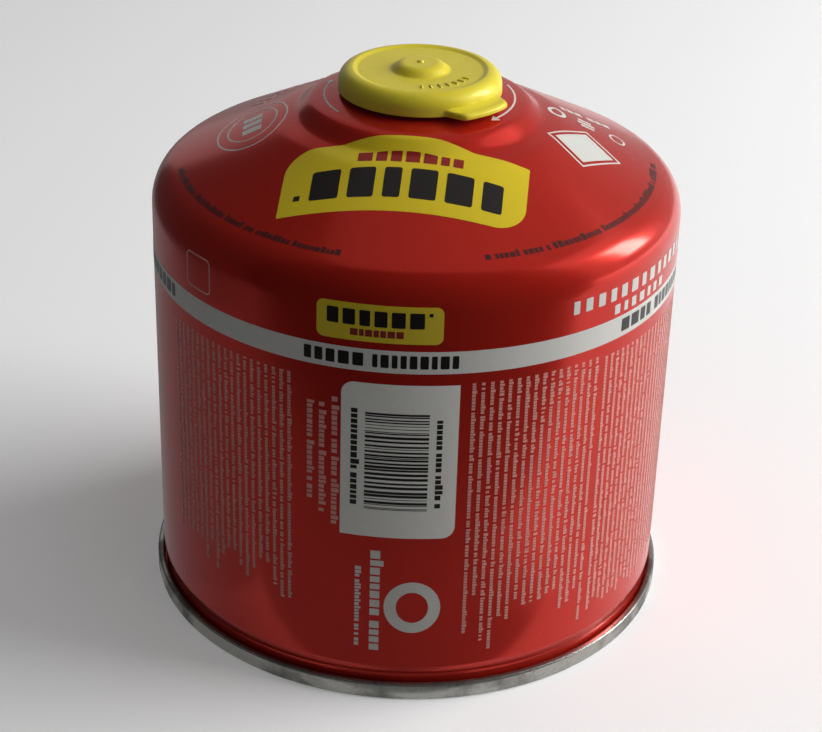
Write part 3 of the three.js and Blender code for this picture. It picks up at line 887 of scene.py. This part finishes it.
# The rhombus's outline at a scale, each side cut into short legs
def rhombusLoop(scale, steps=24):
    path = rhombusMiddle + (np.concatenate([rhombus, rhombus[:1]]) - rhombusMiddle) * scale
    at = np.linspace(0, 4, 4 * steps, endpoint=False)
    return tuple(np.interp(at, np.arange(5), path[:, k]) for k in (0, 1))


white.append(ringFilm(domeAt, rhombusLoop(1 - domeMarks["rhombusLine"]), rhombusLoop(1), fieldLift))
share = np.linspace(0, 1, 20)
field = rhombusMiddle + (rhombus - rhombusMiddle) * domeMarks["rhombusField"]
sideA = field[0] + (field[1] - field[0]) * share[:, None]
sideB = field[3] + (field[2] - field[3]) * share[:, None]
fieldGrid = sideA[:, None] + (sideB - sideA)[:, None] * share[:, None]
white.append(film(domeAt, fieldGrid[..., 0], fieldGrid[..., 1], fieldLift))

white.append(ringFilm(markAt(97.2, 41.0), *ovalLoops(along=2.3, across=1.7, line=0.45), fieldLift))
white.append(boxes(
    markAt(98.7, 34.5), [-2.2, -0.6, 1.0], [-1.2, 0.4, 2.0], [-1.4, -1.8, -1.4], [1.4, 1.8, 1.4], fieldLift))
white.append(ringFilm(markAt(98.1, 28.2), *ovalLoops(along=2.4, across=1.9, line=0.8), fieldLift))
pale.append(blockRow(markAt(-124.0, 35.0), start=-8.0, end=8.0, low=-1.6, high=1.6, count=6, gap=1.2))


# Small print that follows a circle on the dome, between two angles
def circleRow(fromAz, toAz, radius, height):
    start, end, tall = printRow(math.radians(toAz - fromAz) * radius, height)
    start, end = fromAz + degreesOf(start, radius), fromAz + degreesOf(end, radius)
    low = lengthAt(radius + height / 2)
    return boxes(wallAt, start, end, low, low + tall, fieldLift)


shadow = [
    circleRow(-80.0, -15.7, radius=47.8, height=1.4),
    circleRow(15.6, 92.0, radius=47.6, height=1.6),
]

# A short line of print that runs outwards
radialPrint = dict(az=107.8, radius=36.8, length=13.0, height=2.3)
start, end, tall = printRow(radialPrint["length"], radialPrint["height"])
foot, back = radialPrint["height"] / 2, radialPrint["length"] / 2
radialAt = markAt(radialPrint["az"], radialPrint["radius"])
white.append(boxes(radialAt, -foot, tall - foot, start - back, end - back, fieldLift))

# Arrows that turn round the collar: a thin arc that ends in a head
arrowForm = dict(radius=19.1, line=0.20, head=1.0, tip=0.02, headTurn=5.0)


def arrowAt(u, v, lift):
    return skinAt(lengthAt(arrowForm["radius"]) + v, u, lift)


def arrow(fromAz, toAz):
    way = np.sign(toAz - fromAz)
    neck = toAz - way * arrowForm["headTurn"]
    arc = np.linspace(fromAz, neck, 60)
    head = np.linspace(neck, toAz, 8)
    u = np.concatenate([arc, head])
    half = np.concatenate([0 * arc + arrowForm["line"], np.linspace(arrowForm["head"], arrowForm["tip"], 8)])
    return stripFilm(arrowAt, u, half, fieldLift)


white.append(arrow(112.0, 47.5))
white.append(arrow(-56.0, -112.0))

for name, parts, finish in (
    ("print_white", white, whiteInk), ("print_yellow", yellow, yellowInk),
    ("print_grey", codeFields, greyInk), ("print_dark", dark, darkInk), ("print_maroon", maroon, maroonInk),
    ("print_shadow", shadow, shadowInk), ("print_pale", pale, paleInk),
):
    makePiece(name, together(*parts), finish, "canister")

print("valve")

cupForm = dict(
    lipInner=4.5, skirtBottom=curlTop - 6.7, plate=0.35, floor=curlTop - 5.0, clinch=curlTop - 3.8,
    wall=11.9, swell=1.2, rimInner=15.2, rimOuter=15.55, rimBend=2.0,
    rimUnder=curlTop + 1.0, rimTop=curlTop + 1.35, rimLip=curlTop - 1.485, well=11.55,
    stud=5.55, studInner=5.2, studTop=curlTop + 1.5, studBend=0.9, studHole=2.5,
    skirtFoot=0.3, skirtRoot=0.9, wallBend=0.6, wellBend=0.4,
    pitch=0.907, threadDepth=0.28, threadFrom=curlTop - 4.4, threadTo=curlTop + 0.5,
    threadEnd=0.4, threadCrest=1.6,
    facets=160, step=0.12,
)


# The stud's thread: inside its height the wall is drawn in by a rounded wave that climbs one pitch a turn
def threaded(grid, form):
    x, y, z = grid[..., 0], grid[..., 1], grid[..., 2]
    r, t = np.hypot(x, y), np.arctan2(y, x)
    on = (np.abs(r - form["stud"]) < 0.02) & (z > form["threadFrom"]) & (z < form["threadTo"])
    ends = np.clip(np.minimum(z - form["threadFrom"], form["threadTo"] - z) / form["threadEnd"], 0, 1)
    phase = 2 * np.pi * z / form["pitch"] - t
    wave = np.tanh(form["threadCrest"] * np.cos(phase)) / math.tanh(form["threadCrest"])
    depth = form["threadDepth"] * ends * (0.5 - 0.5 * wave)
    scale = np.where(on, (r - depth) / np.maximum(r, 1e-6), 1.0)
    return np.stack([x * scale, y * scale, z], axis=-1)


def makeCup(form):
    swollen = form["clinch"] + form["swell"]
    outline = bentOutline([
        (form["lipInner"], form["skirtBottom"]), (form["stud"] + form["skirtFoot"], form["skirtBottom"]),
        (form["stud"] + form["skirtRoot"], form["floor"] - form["plate"]),
        (form["wall"], form["floor"] - form["plate"]),
        (form["wall"] + form["swell"], form["clinch"], form["wallBend"]), (form["wall"], swollen),
        (form["wall"], form["rimUnder"]),
        (form["rimInner"], form["rimUnder"], form["rimBend"] - form["plate"]),
        (form["rimInner"], form["rimLip"]), (form["rimOuter"], form["rimLip"]),
        (form["rimOuter"], form["rimTop"], form["rimBend"]),
        (form["well"], form["rimTop"], form["wallBend"]), (form["well"], swollen),
        (form["well"] + form["swell"], form["clinch"], form["wellBend"]), (form["well"], form["floor"]),
        (form["stud"], form["floor"]), (form["stud"], form["studTop"], form["studBend"]),
        (form["studHole"], form["studTop"]), (form["studHole"], form["studTop"] - form["plate"]),
        (form["studInner"], form["studTop"] - form["plate"]),
        (form["studInner"], form["skirtBottom"] + form["plate"]),
        (form["lipInner"], form["skirtBottom"] + form["plate"]),
    ])
    outline = spaced(np.concatenate([outline, outline[:1]]), form["step"])[:-1]
    grid = turnedGrid(outline, form["facets"])
    return threaded(grid, form), gridFaces(len(outline), form["facets"], True, True)


cupPiece = makePiece("valveCup", makeCup(cupForm), valveMaterial, "canister")
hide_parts("valve_cup")

for node, finish in (
    ("rim_gasket", rubberMaterial), ("stem_gasket", rubberMaterial), ("valve_housing", housingMaterial),
    ("valve_spring", wireMaterial), ("valve_stem", stemMaterial),
):
    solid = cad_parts[node]
    for held in solid.material_slots:
        held.material = finish

print("cap")

capForm = dict(
    radius=16.45, bottom=curlTop - 1.6, wall=0.65, draft=0.15, edge=2.9,
    innerTop=curlTop + 1.65, innerEdge=2.0, bead=0.6, beadRadius=15.65,
    face=curlTop + 2.3, rimLine=curlTop + 2.65, rimLineRadius=13.45, rimStep=0.9,
    buttonRadius=5.9, buttonTop=4.2, buttonRise=1.5, gateRadius=0.45, gateRise=0.3,
    tabAz=43.5, tabReach=3.5, tabRoot=1.5, tabLip=0.7, tabSide=27.0, tabCorner=12.0, tabRound=0.3,
    valley=0.28, valleyAt=0.30, lipRise=0.22, lipAt=0.82, lipWidth=0.16,
    hollowUp=2.6, hollowWide=9.0, hollowRound=4.0, hollowDepth=0.3, hollowSoft=0.12, hollowSpan=60.0,
    rimBend=0.5, faceBend=1.2, buttonBend=2.6, gateFoot=0.2, facets=384, innerStep=0.3, outerStep=0.12,
)


# Yellow soft plastic: clouded, with dust rubbed into its low places and a faint moulded grain
def capFinish(coords):
    cloud = coords.noise(7.0, 3, seed=14.0)
    grain = coords.noise(0.5, 3, 0.6, seed=15.0)
    dust = coords.noise(2.2, 4, 0.65, seed=16.0).ramp(0.55, 0.75)
    tone = cloud.blend(colour(0.74, 0.60, 0.020), colour(0.82, 0.69, 0.030))
    return {
        "Base Color": (dust * 0.25).blend(tone, colour(0.50, 0.40, 0.04)),
        "Roughness": grain * 0.14 + dust * 0.08 + 0.30,
        "Normal": (grain + cloud * 2.0).bump(0.03, 0.25),
    }


# The cap's outer wall: the thumb hollow is an ellipsoid taken out, the tab stretches the foot to its plan
def shapedCap(grid, outer, form):
    x, y, z = grid[..., 0], grid[..., 1], grid[..., 2]
    r, t = np.hypot(x, y), np.arctan2(x, -y)
    turn = (np.degrees(t) - form["tabAz"] + 180) % 360 - 180
    across = r * np.sin(np.radians(turn))
    middle = form["radius"] + form["hollowRound"] - form["hollowDepth"]
    height = (z - form["bottom"] - form["hollowUp"]) / form["hollowRound"]
    inside = 1 - (across / form["hollowWide"]) ** 2 - height ** 2
    floorLine = middle - form["hollowRound"] * np.sqrt(np.clip(inside, 0, None))
    deep = r * np.cos(np.radians(turn)) - floorLine
    soft = form["hollowSoft"]
    push = np.where(inside > 0, soft * np.log1p(np.exp(np.clip(deep / soft, -30, 30))), 0)
    near = (np.abs(turn) < form["hollowSpan"]) & (r > form["radius"] - form["edge"] - form["rimBend"])
    outside = outer[:, None] & near
    hollowed = r - np.where(outside, push, 0)
    up = np.clip(z - form["bottom"], 0, form["tabRoot"])
    slope = np.clip((form["tabRoot"] - up) / (form["tabRoot"] - form["tabLip"]), 0, 1)
    tip = slope * (2 - slope)
    below = np.clip(form["tabRound"] - up, 0, form["tabRound"])
    under = form["tabRound"] - np.sqrt(form["tabRound"] ** 2 - below ** 2)
    side = np.clip((form["tabSide"] - np.abs(turn)) / form["tabCorner"], 0, 1)
    plan = side * side * (3 - 2 * side)
    stretch = np.where(outer[:, None], plan * tip, 0)
    shaped = hollowed + stretch * (form["radius"] + form["tabReach"] - hollowed - under)
    scale = np.where(r > 1e-6, shaped / np.maximum(r, 1e-6), 1.0)
    hump = form["lipRise"] * np.exp(-((tip - form["lipAt"]) / form["lipWidth"]) ** 2)
    dip = form["valley"] * np.exp(-((tip - form["valleyAt"]) / form["lipWidth"]) ** 2)
    upper = outer[:, None] & (up > form["tabLip"]) & (tip > 0)
    return np.stack([x * scale, y * scale, z + np.where(upper, plan * (hump - dip), 0)], axis=-1)


def makeCap(form):
    skirt = form["radius"] - form["wall"]
    inside = bentOutline([
        (0, form["innerTop"] + form["buttonRise"]),
        (form["buttonTop"] - form["gateFoot"], form["innerTop"] + form["buttonRise"]),
        (form["buttonRadius"] - form["wall"], form["innerTop"]), (skirt, form["innerTop"], form["innerEdge"]),
        (skirt, form["bottom"] + 2 * form["bead"]), (form["beadRadius"], form["bottom"] + 1.5 * form["bead"]),
        (skirt, form["bottom"] + form["bead"]), (skirt, form["bottom"]),
    ])
    outside = bentOutline([
        (form["radius"], form["bottom"]), (form["radius"] - form["draft"], form["rimLine"], form["edge"]),
        (form["rimLineRadius"], form["rimLine"], form["rimBend"]),
        (form["rimLineRadius"] - form["rimStep"], form["face"], form["faceBend"]),
        (form["buttonRadius"], form["face"], form["faceBend"]),
        (form["buttonTop"], form["face"] + form["buttonRise"], form["buttonBend"]),
        (form["gateRadius"] + form["gateFoot"], form["face"] + form["buttonRise"], 0.1),
        (form["gateRadius"], form["face"] + form["buttonRise"] + form["gateRise"], 0.15),
        (0, form["face"] + form["buttonRise"] + form["gateRise"]),
    ], 12)
    inner, outer = spaced(inside, form["innerStep"]), spaced(outside, form["outerStep"])
    grid = turnedGrid(np.concatenate([inner, outer]), form["facets"])
    isOuter = np.arange(len(grid)) >= len(inner)
    return shapedCap(grid, isOuter, form), gridFaces(len(grid), form["facets"])


capMaterial = material("yellowPlastic", {"Coat Weight": 0.12, "Coat Roughness": 0.2}, capFinish)

# Short raised ribs on the cap's face, beside the tab
capRibs = dict(count=7, fromAz=2.0, toAz=62.0, inner=9.3, outer=11.1, half=0.28, rise=0.3)


# Places on the face: u is the radius, v the distance across the rib; its top is rounded like cos v
def ribAt(az):
    def locate(u, v, lift):
        t = math.radians(az)
        x, y = u * math.sin(t) + v * math.cos(t), -u * math.cos(t) + v * math.sin(t)
        ends = np.clip(np.minimum(u - capRibs["inner"], capRibs["outer"] - u) / 0.3, 0, 1)
        crown = np.cos(v / capRibs["half"] * np.pi / 2) * np.sin(ends * np.pi / 2)
        z = 0 * u + capForm["face"] - sink + (lift > 0) * crown * capRibs["rise"]
        return np.stack([x, y, z], axis=-1)
    return locate


ribAlong = np.linspace(capRibs["inner"], capRibs["outer"], 13)[:, None]
ribAcross = np.linspace(-1, 1, 9)
ribs = []
for az in np.linspace(capRibs["fromAz"], capRibs["toAz"], capRibs["count"]):
    ribs.append(film(ribAt(az), ribAlong + 0 * ribAcross, capRibs["half"] * ribAcross, sink))
capPiece = makePiece("yellowCap", together(makeCap(capForm), *ribs), capMaterial, "cap")
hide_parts("cap")

print("sizes")

low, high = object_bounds()
